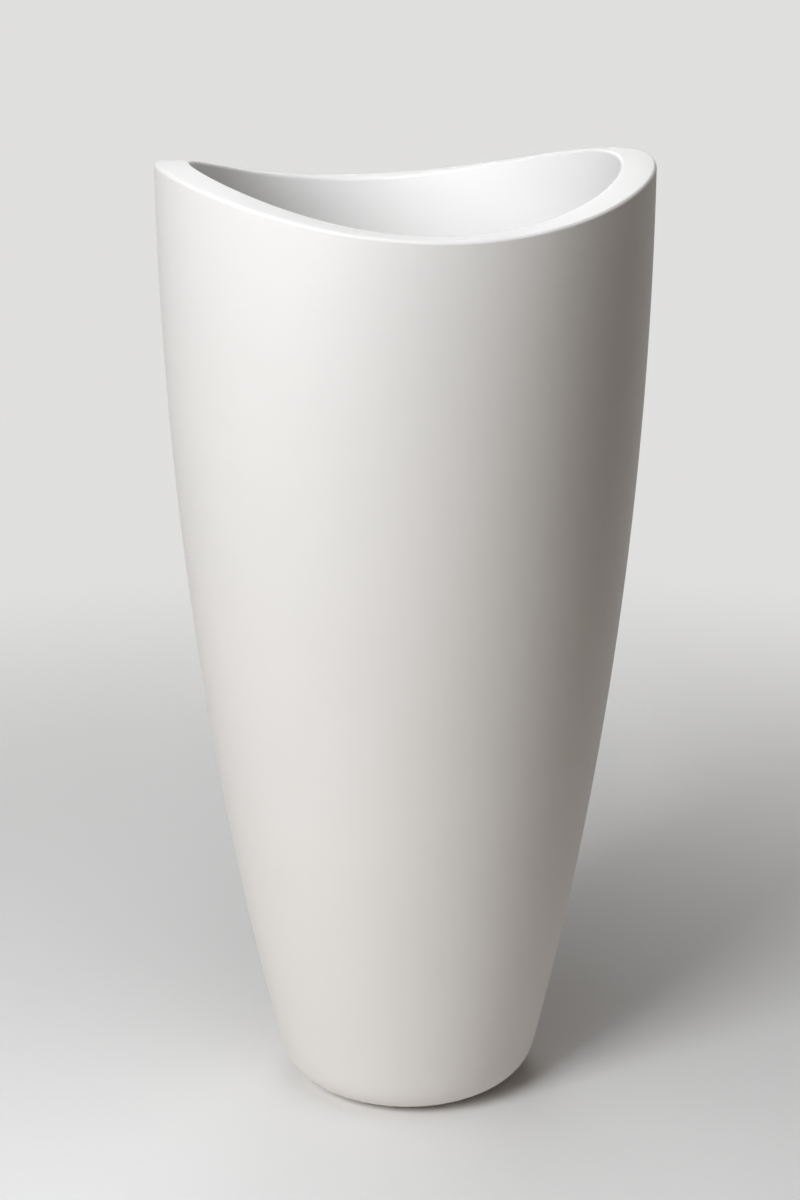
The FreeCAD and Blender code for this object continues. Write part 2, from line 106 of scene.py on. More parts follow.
@dataclass(frozen=True)
class MouldedFinish:
    """Moulded plastic or rubber with a fine grain and faint clouding.

    Args:
        name: Name of the material.
        colour: Base colour, linear RGB.
        roughness: Middle of the roughness range.
        spread: How far the clouding moves colour and roughness.
        grain: Scale of the mould's texture.
        relief: Depth of the mould's texture, in metres.
        coat: Strength of the clear coat.
    """

    name: str
    colour: Colour
    roughness: float
    spread: float = 0.04
    grain: Grain = Grain.FINE
    relief: float = 0.00005
    coat: float = 0.0

    def material(self) -> Material:
        """Make the node material, or hand back the one already made.

        Returns:
            The material.
        """
        made = bpy.data.materials.get(self.name)
        if made:
            return made
        material = bpy.data.materials.new(self.name)
        material.use_nodes = True
        tree = material.node_tree
        shader = tree.nodes["Principled BSDF"]
        shader.inputs["Coat Weight"].default_value = self.coat
        place = tree.nodes.new("ShaderNodeTexCoord")
        clouds = self.noise(tree, place, CLOUD_SCALE, CLOUD_DETAIL)
        tree.links.new(self.tint(tree, clouds), shader.inputs["Base Color"])
        tree.links.new(self.gloss(tree, clouds), shader.inputs["Roughness"])
        speckle = self.noise(tree, place, self.grain.value, GRAIN_DETAIL)
        tree.links.new(self.grained(tree, speckle), shader.inputs["Normal"])
        return material

    @staticmethod
    def noise(tree: NodeTree, place: Node, scale: float, detail: float) -> NodeSocket:
        """Add a noise texture that is fixed to the piece.

        Args:
            tree: Node tree that takes the texture.
            place: Its texture coordinate node.
            scale: Scale of the noise, per metre.
            detail: Octaves of finer noise.

        Returns:
            The socket with the noise.
        """
        noise = tree.nodes.new("ShaderNodeTexNoise")
        noise.inputs["Scale"].default_value = scale
        noise.inputs["Detail"].default_value = detail
        tree.links.new(place.outputs["Object"], noise.inputs["Vector"])
        return noise.outputs["Fac"]

    def tint(self, tree: NodeTree, clouds: NodeSocket) -> NodeSocket:
        """Let the clouding move the colour.

        Args:
            tree: Node tree of the material.
            clouds: Socket with the clouding.

        Returns:
            The socket with the colour.
        """
        ramp = tree.nodes.new("ShaderNodeValToRGB")
        for stop, position, sign in zip(ramp.color_ramp.elements, CLOUD_SPAN, (-1.0, 1.0)):
            stop.position = position
            stop.color = (*(min(value * (1.0 + sign * self.spread), 1.0) for value in self.colour), 1.0)
        tree.links.new(clouds, ramp.inputs["Fac"])
        return ramp.outputs["Color"]

    def gloss(self, tree: NodeTree, clouds: NodeSocket) -> NodeSocket:
        """Let the clouding move the roughness.

        Args:
            tree: Node tree of the material.
            clouds: Socket with the clouding.

        Returns:
            The socket with the roughness.
        """
        span = tree.nodes.new("ShaderNodeMapRange")
        span.inputs["From Min"].default_value, span.inputs["From Max"].default_value = CLOUD_SPAN
        span.inputs["To Min"].default_value = self.roughness - self.spread
        span.inputs["To Max"].default_value = self.roughness + self.spread
        tree.links.new(clouds, span.inputs["Value"])
        return span.outputs["Result"]

    def grained(self, tree: NodeTree, speckle: NodeSocket) -> NodeSocket:
        """Raise the mould's texture.

        Args:
            tree: Node tree of the material.
            speckle: Socket with the texture's noise.

        Returns:
            The socket with the surface's direction.
        """
        bump = tree.nodes.new("ShaderNodeBump")
        bump.inputs["Strength"].default_value = GRAIN_STRENGTH
        bump.inputs["Distance"].default_value = self.relief
        tree.links.new(speckle, bump.inputs["Height"])
        return bump.outputs["Normal"]


WHITE_SHELL = MouldedFinish(
    "white_shell_plastic", (0.86, 0.85, 0.838), roughness=0.5, spread=0.012, relief=0.00004
)
GREY_LINER = MouldedFinish(
    "grey_liner_plastic", (0.75, 0.745, 0.735), roughness=0.55, spread=0.025, grain=Grain.MEDIUM
)
DARK_BAIL = MouldedFinish(
    "dark_bail_plastic", (0.05, 0.05, 0.053), roughness=0.45, grain=Grain.MEDIUM
)
BLACK_INSERT = MouldedFinish(
    "black_insert_plastic", (0.025, 0.025, 0.026), roughness=0.6, spread=0.1, grain=Grain.COARSE
)
GREY_TUBE = MouldedFinish(
    "grey_tube_plastic", (0.22, 0.22, 0.225), roughness=0.35
)
RED_GAUGE = MouldedFinish(
    "red_gauge_plastic", (0.55, 0.02, 0.012), roughness=0.25, coat=0.3
)
WHITE_MARK = MouldedFinish(
    "white_mark_paint", (0.78, 0.78, 0.76), roughness=0.4, spread=0.03
)
PAD_RUBBER = MouldedFinish(
    "pad_rubber", (0.015, 0.015, 0.015), roughness=0.75, grain=Grain.COARSE, relief=0.0001
)
PLUG_RUBBER = MouldedFinish(
    "plug_rubber", (0.06, 0.06, 0.06), roughness=0.7, grain=Grain.MEDIUM, relief=0.0001
)


@dataclass(frozen=True)
class Extent:
    """Box of a node at rest, in millimetres.

    Args:
        low: Its lowest corner.
        high: Its highest corner.
    """

    low: Vector
    high: Vector

    @classmethod
    def of(cls, node: str) -> "Extent":
        """Box of a node of the frame."""
        low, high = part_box(node)
        return cls(low / MM, high / MM)

    @property
    def place(self) -> Place:
        """X and Y of the box's middle."""
        return (self.low.x + self.high.x) / 2.0, (self.low.y + self.high.y) / 2.0

    @property
    def radius(self) -> float:
        """Radius of a round piece that fills the box."""
        return (self.high.x - self.low.x) / 2.0


@dataclass
class Section:
    """Outline of a turned piece, drawn from point to point in millimetres of radius and height."""

    points: list[Place] = field(default_factory=list)

    def to(self, radius: float, height: float) -> "Section":
        """Draw a straight run to a point."""
        self.points.append((radius, height))
        return self

    def arc(self, centre: Place, radius: float, start: float, end: float, parts: int) -> "Section":
        """Draw an arc, its ends included.

        Args:
            centre: Radius and height of the arc's centre.
            radius: The arc's own radius.
            start: Angle of its first point, from outwards to up.
            end: Angle of its last point.
            parts: Number of straight parts.

        Returns:
            The section itself.
        """
        for index in range(parts + 1):
            angle = start + (end - start) * index / parts
            self.to(centre[0] + radius * math.cos(angle), centre[1] + radius * math.sin(angle))
        return self

    def turned(self, place: Place = (0.0, 0.0), steps: int = ROUND_STEPS) -> BMesh:
        """Spin the outline a full turn.

        An outline whose two ends lie on the axis stays open there, and any other is closed.

        Args:
            place: X and Y of the axis, in millimetres.
            steps: Number of steps in the turn.

        Returns:
            A new bmesh of the closed, turned piece.
        """
        bm = bmesh.new()
        verts = [bm.verts.new((radius * MM, 0.0, height * MM)) for radius, height in self.points]
        pairs = list(zip(verts, verts[1:]))
        if self.points[0][0] > 0.0:
            pairs.append((verts[-1], verts[0]))
        edges = [bm.edges.new(pair) for pair in pairs]
        bmesh.ops.spin(
            bm, geom=verts + edges, cent=(0.0, 0.0, 0.0), axis=(0.0, 0.0, 1.0), angle=FULL_TURN,
            steps=steps, use_merge=True,
        )
        weld(bm)
        bmesh.ops.translate(bm, verts=bm.verts[:], vec=(place[0] * MM, place[1] * MM, 0.0))
        return bm

    def swung(self, start: float, sweep: float, steps: int) -> BMesh:
        """Spin the closed outline part of a turn about Z, with an end face at each side.

        Args:
            start: Angle of the first end, from +X towards +Y.
            sweep: Angle between the two ends.
            steps: Number of steps between them.

        Returns:
            A new bmesh of the closed piece.
        """
        bm = bmesh.new()
        verts = [bm.verts.new((radius * MM, 0.0, height * MM)) for radius, height in self.points]
        face = bm.faces.new(verts)
        bmesh.ops.rotate(bm, verts=verts, cent=(0.0, 0.0, 0.0), matrix=Matrix.Rotation(start, 3, "Z"))
        bmesh.ops.spin(
            bm, geom=verts + face.edges[:] + [face], cent=(0.0, 0.0, 0.0), axis=(0.0, 0.0, 1.0),
            angle=sweep, steps=steps,
        )
        weld(bm)
        return bm


def weld(bm: BMesh) -> None:
    """Merge the doubles of a spun shape and point its faces outwards.

    Args:
        bm: The closed shape.
    """
    bmesh.ops.remove_doubles(bm, verts=bm.verts[:], dist=MERGE_DISTANCE)
    bmesh.ops.recalc_face_normals(bm, faces=bm.faces[:])


def soften(bm: BMesh, width: float, segments: int = 3, sharper: float = 40.0) -> None:
    """Round the sharp edges of a shape.

    Args:
        bm: The shape.
        width: Width of the rounding, in millimetres.
        segments: Number of parts in the rounding.
        sharper: Edges that turn by more than this many degrees are rounded.
    """
    limit = math.radians(sharper)
    edges = [edge for edge in bm.edges if edge.is_manifold and edge.calc_face_angle() > limit]
    bmesh.ops.bevel(
        bm, geom=edges, offset=width * MM, offset_type="OFFSET", affect="EDGES", segments=segments,
        profile=0.5, material=-1, clamp_overlap=True,
    )


def linked(bm: BMesh, name: str) -> Object:
    """Put a bmesh into the scene as an object at the origin.

    Args:
        bm: The shape, which is freed.
        name: Name of the object and its mesh.

    Returns:
        The object.
    """
    mesh = bpy.data.meshes.new(name)
    bm.to_mesh(mesh)
    bm.free()
    made = bpy.data.objects.new(name, mesh)
    bpy.context.scene.collection.objects.link(made)
    return made


def joined(bm: BMesh, tool: BMesh, join: Join) -> BMesh:
    """Cut one closed shape out of another, or fuse the two.

    Args:
        bm: The shape that is kept, which is freed.
        tool: The other shape, which is freed.
        join: How the two meet.

    Returns:
        A new bmesh of the result.
    """
    kept, other = linked(bm, "kept_shape"), linked(tool, "tool_shape")
    modifier = kept.modifiers.new("join", "BOOLEAN")
    modifier.operation = join.value
    modifier.solver = "EXACT"
    modifier.object = other
    shape = kept.evaluated_get(bpy.context.evaluated_depsgraph_get())
    result = bmesh.new()
    result.from_mesh(shape.to_mesh())
    shape.to_mesh_clear()
    for used in (kept, other):
        mesh = used.data
        bpy.data.objects.remove(used)
        bpy.data.meshes.remove(mesh)
    return result


def add_pill(tool: BMesh, length: float, width: float, depth: float, matrix: Matrix) -> None:
    """Add a bar with round ends, along X, that cuts a slot or makes a grip.

    Args:
        tool: The bmesh that takes it.
        length: Its length along X, in millimetres.
        width: Its width along Y.
        depth: Its height along Z, from zero up.
        matrix: Where it goes, in metres.
    """
    circle = bmesh.ops.create_circle(tool, cap_ends=True, segments=PILL_STEPS, radius=width / 2.0 * MM)
    verts = circle["verts"]
    reach = (length - width) / 2.0 * MM
    for vert in verts:
        vert.co.y += math.copysign(reach, vert.co.y)
    foot = verts[0].link_faces[:]
    raised = bmesh.ops.extrude_face_region(tool, geom=foot)["geom"]
    top = [item for item in raised if isinstance(item, bmesh.types.BMVert)]
    bmesh.ops.translate(tool, verts=top, vec=(0.0, 0.0, depth * MM))
    bmesh.ops.transform(tool, matrix=matrix @ Matrix.Rotation(QUARTER_TURN, 4, "Z"), verts=verts + top)
    bmesh.ops.recalc_face_normals(tool, faces=tool.faces[:])


def add_pin(tool: BMesh, radius: float, length: float, matrix: Matrix) -> None:
    """Add a round bar along Z, from zero up.

    Args:
        tool: The bmesh that takes it.
        radius: Its radius, in millimetres.
        length: Its length.
        matrix: Where it goes, in metres.
    """
    centred = matrix @ Matrix.Translation((0.0, 0.0, length / 2.0 * MM))
    bmesh.ops.create_cone(
        tool, cap_ends=True, segments=PIN_STEPS, radius1=radius * MM, radius2=radius * MM,
        depth=length * MM, matrix=centred,
    )


def moved(x: float, y: float, z: float) -> Matrix:
    """Matrix of a move, given in millimetres."""
    return Matrix.Translation((x * MM, y * MM, z * MM))


def turned_by(angle: float) -> Matrix:
    """Matrix of a turn about Z, in radians."""
    return Matrix.Rotation(angle, 4, "Z")


def finished(
    bm: BMesh, node: str, body: str, finish: MouldedFinish, crease: float = 35.0
) -> Object:
    """Turn a bmesh into the piece that stands for a node.

    Args:
        bm: The shape, in metres and in place, which is freed.
        node: Node that it replaces.
        body: Body that it rides on.
        finish: Its finish.
        crease: Edges sharper than this many degrees stay sharp.

    Returns:
        The piece.
    """
    piece = linked(bm, node + "_piece")
    piece.data.shade_smooth()
    piece.data.set_sharp_from_angle(angle=math.radians(crease))
    piece.data.materials.append(finish.material())
    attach(piece, body)
    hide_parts(node)
    LOG.info("%s rides on %s with %d faces", piece.name, body, len(piece.data.polygons))
    return piece


@dataclass
class Shell:
    """The white outer pot with its pads and its plug, in millimetres."""

    rim_dip: float = 37.0
    base_radius: float = 105.0
    side_bulge: float = 24.0
    corner_radius: float = 41.0
    wall: float = 5.0
    rim_width: float = 28.5
    lip_radius: float = 3.0
    collar_depth: float = 78.0
    ledge_width: float = 11.0
    drain_radius: float = 12.0
    edge: float = 1.0
    inside_top: float = 720.0
    side_parts: int = 46
    corner_parts: int = 14
    lip_parts: int = 8
    hollow_side_parts: int = 24
    hollow_corner_parts: int = 8
    collar_shares: tuple[float, ...] = (0.8, 0.6, 0.4, 0.2, 0.04)
    pad_radius: float = 10.0
    pad_clearance: float = 0.2
    tread_radii: tuple[float, ...] = (3.0, 5.4, 7.8)
    tread_width: float = 0.9
    tread_depth: float = 0.5
    plug_clearance: float = 0.3
    plug_ribs: int = 2
    plug_neck_share: float = 0.5
    plug_rib_depth: float = 0.6
    plug_head: float = 4.0
    grip_width: float = 20.0
    grip_thickness: float = 5.0

    def __post_init__(self) -> None:
        """Take the outer sizes from the frame and work out the arcs of the side and the base corner."""
        whole = Extent.of("shell")
        self.tip_height = whole.high.z
        self.top_radius = whole.radius
        self.underside = whole.low.z
        self.ledge_level = self.tip_height - self.rim_dip - self.collar_depth
        rise = self.tip_height - self.underside
        run = self.top_radius - self.base_radius
        half = math.hypot(rise, run) / 2.0
        lean = math.atan2(run, rise)
        self.side_radius = (half ** 2 + self.side_bulge ** 2) / (2.0 * self.side_bulge)
        reach = self.side_radius - self.side_bulge
        self.side_centre = (
            (self.base_radius + self.top_radius) / 2.0 - reach * math.cos(lean),
            (self.underside + self.tip_height) / 2.0 + reach * math.sin(lean),
        )
        corner_height = self.underside + self.corner_radius
        inner = self.side_radius - self.corner_radius
        self.corner_lean = math.asin((corner_height - self.side_centre[1]) / inner)
        self.corner_centre = (self.side_centre[0] + inner * math.cos(self.corner_lean), corner_height)

    def side(self, height: float, inset: float = 0.0) -> float:
        """Radius of the side's arc at a height, or of one that lies inside it."""
        radius = self.side_radius - inset
        return self.side_centre[0] + math.sqrt(radius ** 2 - (height - self.side_centre[1]) ** 2)

    def lean(self, height: float, inset: float = 0.0) -> float:
        """Angle on the side's arc at a height."""
        return math.asin((height - self.side_centre[1]) / (self.side_radius - inset))

    def section(self) -> Section:
        """Outline through one of the rim's tips: outside, land, collar, ledge and hollow.

        Returns:
            The closed outline.
        """
        bore = self.top_radius - self.rim_width
        lip = self.lip_radius
        level = self.tip_height - lip
        corner, corner_end = self.corner_centre, self.corner_lean
        side_start, side_end = corner_end + ARC_GAP, self.lean(level - lip)
        floor = self.underside + self.wall
        under_land = self.tip_height - self.wall
        ledge_bottom = self.ledge_level - self.wall
        line = Section().to(self.drain_radius, self.underside)
        line.arc(corner, self.corner_radius, -QUARTER_TURN, corner_end, self.corner_parts)
        line.arc(self.side_centre, self.side_radius, side_start, side_end, self.side_parts)
        line.arc((self.top_radius - lip, level), lip, 0.0, QUARTER_TURN, self.lip_parts)
        line.arc((bore + lip, level), lip, QUARTER_TURN, math.pi, self.lip_parts)
        for share in self.collar_shares:
            line.to(bore, self.ledge_level + (level - self.ledge_level) * share)
        line.to(bore, self.ledge_level).to(bore - self.ledge_width, self.ledge_level)
        line.to(bore - self.ledge_width, ledge_bottom).to(bore + self.wall, ledge_bottom)
        line.to(bore + self.wall, under_land).to(self.side(under_land, self.wall), under_land)
        inner_side = self.side_radius - self.wall
        inner_corner = self.corner_radius - self.wall
        inner_top = self.lean(self.inside_top, self.wall)
        line.arc(self.side_centre, inner_side, inner_top, side_start, self.hollow_side_parts)
        line.arc(corner, inner_corner, corner_end, -QUARTER_TURN, self.hollow_corner_parts)
        return line.to(corner[0] / 2.0, floor).to(self.drain_radius, floor)

    def sink_rim(self, bm: BMesh) -> None:
        """Lower the turned shell between its tips, and keep its outside on the side's arc.

        Args:
            bm: The turned shell.
        """
        low = self.ledge_level + self.edge
        high = self.tip_height - self.lip_radius
        for vert in bm.verts:
            height = vert.co.z / MM
            share = min(max((height - low) / (high - low), 0.0), 1.0)
            if share <= 0.0:
                continue
            across = Vector((vert.co.x, vert.co.y, 0.0))
            drop = self.rim_dip * share * (vert.co.y / across.length) ** 2
            vert.co.z -= drop * MM
            overhang = max(across.length / MM - self.side(height - drop), 0.0)
            vert.co -= across.normalized() * overhang * MM

    def pad_places(self) -> list[Place]:
        """X and Y of the four pads, from the box of their node."""
        reach = Extent.of("foot_pads").high.x - self.pad_radius
        return [(x, y) for x in (reach, -reach) for y in (reach, -reach)]

    def build_body(self) -> None:
        """Build the pot itself, with a recess for each pad."""
        bm = self.section().turned(steps=SHELL_STEPS)
        soften(bm, self.edge)
        self.sink_rim(bm)
        recesses = bmesh.new()
        radius = self.pad_radius + self.pad_clearance
        bottom = self.underside - OVERRUN
        depth = Extent.of("foot_pads").high.z - bottom
        for place in self.pad_places():
            add_pin(recesses, radius, depth, moved(*place, bottom))
        bm = joined(bm, recesses, Join.CUT)
        finished(bm, "shell", "shell", WHITE_SHELL)

    def build_pads(self) -> None:
        """Build the four round pads, with ring grooves in the tread."""
        box = Extent.of("foot_pads")
        low, high = box.low.z, box.high.z
        groove, half = low + self.tread_depth, self.tread_width / 2.0
        outline = Section().to(0.0, high).to(self.pad_radius, high).to(self.pad_radius, low)
        for radius in reversed(self.tread_radii):
            outline.to(radius + half, low).to(radius + half, groove)
            outline.to(radius - half, groove).to(radius - half, low)
        outline.to(0.0, low)
        pads = bmesh.new()
        for place in self.pad_places():
            pad = outline.turned(place, steps=STEM_STEPS)
            soften(pad, self.tread_depth / 2.0, segments=2)
            mesh = bpy.data.meshes.new("pad")
            pad.to_mesh(mesh)
            pad.free()
            pads.from_mesh(mesh)
            bpy.data.meshes.remove(mesh)
        finished(pads, "foot_pads", "shell", PAD_RUBBER)

    def build_plug(self) -> None:
        """Build the stopper with its sealing ribs and its grip."""
        box = Extent.of("base_plug")
        stem = self.drain_radius - self.plug_clearance
        floor = self.underside + self.wall
        head_top = floor + self.plug_head
        pitch = (floor - box.low.z) / (self.plug_ribs + self.plug_neck_share)
        outline = Section().to(0.0, box.low.z)
        for index in range(self.plug_ribs):
            foot = box.low.z + pitch * index
            outline.to(stem - self.plug_rib_depth, foot).to(stem, foot + pitch / 2.0)
        outline.to(stem - self.plug_rib_depth, floor).to(box.radius, floor)
        outline.to(box.radius, head_top).to(0.0, head_top)
        bm = outline.turned(box.place, steps=STEM_STEPS)
        soften(bm, self.plug_rib_depth)
        grip = bmesh.new()
        add_pill(grip, self.grip_width, self.grip_thickness, box.high.z - floor, moved(0.0, 0.0, floor))
        soften(grip, self.edge)
        bm = joined(bm, grip, Join.FUSE)
        finished(bm, "base_plug", "base_plug", PLUG_RUBBER)

    def build(self) -> None:
        """Build and dress the shell's three pieces."""
        self.build_body()
        self.build_pads()
        self.build_plug()


@dataclass
class Liner:
    """The lift-out planting pot and its two carrying bails, in millimetres."""

    wall: float = 2.5
    floor: float = 3.0
    corner: float = 12.0
    step: float = 8.0
    flange: float = 3.0
    flange_width: float = 11.0
    edge: float = 0.9
    lug_thickness: float = 5.5
    lug_width: float = 40.0
    lug_steps: int = 12
    corner_parts: int = 8
    trunnion_radius: float = 2.5
    trunnion_clearance: float = 0.2
    trunnion_edge: float = 0.5
    eye_width: float = 7.7
    bail_width: float = 8.0
    bail_edge: float = 2.2
    bail_steps: int = 120
    finger_count: int = 5
    finger_pitch: float = math.radians(8.0)
    finger_depth: float = 1.2

    def __post_init__(self) -> None:
        """Take the outer sizes and the levels from the frame."""
        self.box = Extent.of("liner")
        self.bail_box = Extent.of("rear_bail")
        self.plate_box = Extent.of("separator")
        self.axis_level = (self.bail_box.low.z + self.bail_box.high.z) / 2.0
        self.eye_radius = (self.bail_box.high.z - self.bail_box.low.z) / 2.0
        self.axis_offset = self.bail_box.low.y + self.eye_radius
        self.ledge = Shell().ledge_level

    def section(self) -> Section:
        """Outline of the pot, from the middle of its underside round to the middle of its floor.

        Returns:
            The open outline, both ends on the axis.
        """
        upper = self.box.radius - self.flange_width
        lower = upper - self.step
        low = self.box.low.z
        inside = low + self.floor
        shelf = self.plate_box.low.z
        top = self.ledge + self.flange
        round_out, round_in = lower - self.corner, lower - self.wall - self.corner
        line = Section().to(0.0, low)
        line.arc((round_out, low + self.corner), self.corner, -QUARTER_TURN, 0.0, self.corner_parts)
        line.to(lower, shelf - self.floor).to(upper, shelf - self.floor).to(upper, self.ledge)
        line.to(self.box.radius, self.ledge).to(self.box.radius, top).to(upper - self.wall, top)
        line.to(upper - self.wall, shelf).to(lower - self.wall, shelf)
        line.arc((round_in, inside + self.corner), self.corner, 0.0, -QUARTER_TURN, self.corner_parts)
        return line.to(0.0, inside)

    def lug(self, side: float) -> BMesh:
        """Lug that two trunnions turn in.

        Args:
            side: Angle of the lug, from +X towards +Y.

        Returns:
            A new bmesh of the lug.
        """
        inner, outer = self.box.radius - self.lug_thickness, self.box.radius
        low, high = self.ledge + self.flange / 2.0, self.box.high.z
        outline = Section().to(inner, low).to(outer, low).to(outer, high).to(inner, high)
        half = math.asin(self.lug_width / 2.0 / outer)
        lug = outline.swung(side - half, 2.0 * half, self.lug_steps)
        soften(lug, self.edge)
        return lug

    def build_pot(self) -> None:
        """Build the pot with its flange, its lugs and their bores."""
        bm = self.section().turned(steps=SHELL_STEPS)
        soften(bm, self.edge)
        for side in (0.0, math.pi):
            bm = joined(bm, self.lug(side), Join.FUSE)
        bores = bmesh.new()
        reach = self.box.radius + OVERRUN
        for offset in (self.axis_offset, -self.axis_offset):
            lying = moved(-reach, offset, self.axis_level) @ Matrix.Rotation(QUARTER_TURN, 4, "Y")
            add_pin(bores, self.trunnion_radius + self.trunnion_clearance, 2.0 * reach, lying)
        bm = joined(bm, bores, Join.CUT)
        finished(bm, "liner", "liner", GREY_LINER)

    def press_fingers(self, bm: BMesh) -> None:
        """Press finger grooves into the inner side of a bail's middle.

        Args:
            bm: The bail that lies on the +Y side.
        """
        middle = self.bail_box.high.y - self.bail_width / 2.0
        reach = self.finger_count * self.finger_pitch / 2.0
        for vert in bm.verts:
            across = Vector((vert.co.x, vert.co.y, 0.0))
            angle = math.atan2(across.x, across.y)
            if abs(angle) < reach and across.length < middle * MM:
                wave = 0.5 + 0.5 * math.cos(FULL_TURN * angle / self.finger_pitch)
                vert.co += across.normalized() * self.finger_depth * wave * MM

    def bail_end(self, end: float) -> BMesh:
        """Round eye and trunnion of one end of a bail.

        Args:
            end: 1.0 for the end at +X and -1.0 for the one at -X.

        Returns:
            A new bmesh of the stepped pin.
        """
        inner = self.bail_box.high.y - self.bail_width
        tip = self.bail_box.high.x
        eye, pin = self.eye_radius, self.trunnion_radius
        outline = Section().to(0.0, 0.0).to(eye, 0.0).to(eye, self.eye_width)
        outline.to(pin, self.eye_width).to(pin, tip - inner).to(0.0, tip - inner)
        bm = outline.turned(steps=PIN_STEPS)
        soften(bm, self.trunnion_edge, segments=2)
        lying = Matrix.Rotation(QUARTER_TURN * end, 4, "Y")
        place = moved(inner * end, self.axis_offset, self.axis_level)
        bmesh.ops.transform(bm, matrix=place @ lying, verts=bm.verts[:])
        return bm

    def build_bail(self, node: str, turn: float) -> None:
        """Build one bail, folded down on the flange.

        Args:
            node: Node and body of the bail.
            turn: Angle that it is turned by from the +Y side.
        """
        outer = self.bail_box.high.y
        inner = outer - self.bail_width
        low, high = self.bail_box.low.z, self.bail_box.high.z
        outline = Section().to(inner, low).to(outer, low).to(outer, high).to(inner, high)
        start = math.asin(self.axis_offset / inner)
        bm = outline.swung(start, math.pi - 2.0 * start, self.bail_steps)
        soften(bm, self.bail_edge, segments=4)
        self.press_fingers(bm)
        for end in (1.0, -1.0):
            bm = joined(bm, self.bail_end(end), Join.FUSE)
        bmesh.ops.transform(bm, matrix=turned_by(turn), verts=bm.verts[:])
        finished(bm, node, node, DARK_BAIL)

    def build(self) -> None:
        """Build and dress the pot and its bails."""
        self.build_pot()
        self.build_bail("rear_bail", 0.0)
        self.build_bail("front_bail", math.pi)


@dataclass
class WaterStore:
    """The plate and the wick cup over the water, in millimetres."""

    cup_radius: float = 40.0
    cup_wall: float = 2.0
    cup_flange: float = 5.0
    cup_clearance: float = 0.3
    cup_slots: int = 8
    cup_slot_width: float = 4.0
    cup_slot_height: float = 40.0
    cup_slot_rise: float = 10.0
    tube_clearance: float = 0.3
    slot_width: float = 4.0
    slot_length: float = 24.0
    slot_margin: float = 5.0
    slot_counts: tuple[int, ...] = (12, 18)
    slot_shares: tuple[float, ...] = (0.29, 0.73)
    shelf_width: float = 7.4
    edge: float = 0.6

    def slot_angles(self, radius: float, count: int) -> list[float]:
        """Angles of one ring's slots, without those that would run into the tube.

        Args:
            radius: Radius of the ring.
            count: Slots in the full ring.

        Returns:
            The angles, in radians.
        """
        tube = Extent.of("fill_tube")
        reach = tube.radius + self.slot_length / 2.0 + self.slot_margin
        centre = Vector(tube.place)
        angles = [FULL_TURN * index / count for index in range(count)]
        places = [Vector((math.cos(angle), math.sin(angle))) * radius for angle in angles]
        return [angle for angle, place in zip(angles, places) if (place - centre).length > reach]

    def build_plate(self) -> None:
        """Build the slotted plate."""
        box = Extent.of("separator")
        tube = Extent.of("fill_tube")
        hole = self.cup_radius + self.cup_clearance
        outline = Section().to(hole, box.low.z).to(box.radius, box.low.z)
        outline.to(box.radius, box.high.z).to(hole, box.high.z)
        bm = outline.turned(steps=SHELL_STEPS)
        soften(bm, self.edge, segments=2)
        cuts = bmesh.new()
        bottom = box.low.z - OVERRUN
        depth = box.high.z + OVERRUN - bottom
        add_pin(cuts, tube.radius + self.tube_clearance, depth, moved(*tube.place, bottom))
        cup_edge = self.cup_radius + self.cup_flange
        store = box.radius - self.shelf_width
        for share, count in zip(self.slot_shares, self.slot_counts):
            radius = cup_edge + (store - cup_edge) * share
            for angle in self.slot_angles(radius, count):
                place = turned_by(angle) @ moved(radius, 0.0, bottom)
                add_pill(cuts, self.slot_length, self.slot_width, depth, place)
        bm = joined(bm, cuts, Join.CUT)
        finished(bm, "separator", "liner", BLACK_INSERT)

    def build_cup(self) -> None:
        """Build the slotted cup that hangs through the plate."""
        box = Extent.of("wick_cup")
        plate_top = Extent.of("separator").high.z
        inner = self.cup_radius - self.cup_wall
        floor = box.low.z + self.cup_wall
        outline = Section().to(0.0, box.low.z).to(self.cup_radius, box.low.z)
        outline.to(self.cup_radius, plate_top).to(box.radius, plate_top).to(box.radius, box.high.z)
        outline.to(inner, box.high.z).to(inner, floor).to(0.0, floor)
        bm = outline.turned()
        soften(bm, self.edge)
        slots = bmesh.new()
        middle = box.low.z + self.cup_slot_rise + self.cup_slot_height / 2.0
        upright = Matrix.Rotation(-QUARTER_TURN, 4, "Y")
        depth = self.cup_wall + 2.0 * OVERRUN
        for index in range(self.cup_slots):
            turn = turned_by(FULL_TURN * index / self.cup_slots)
            place = turn @ moved(self.cup_radius + OVERRUN, 0.0, middle) @ upright
            add_pill(slots, self.cup_slot_height, self.cup_slot_width, depth, place)
        bm = joined(bm, slots, Join.CUT)
        finished(bm, "wick_cup", "liner", BLACK_INSERT)

    def build(self) -> None:
        """Build and dress the plate and the cup."""
        self.build_plate()
        self.build_cup()


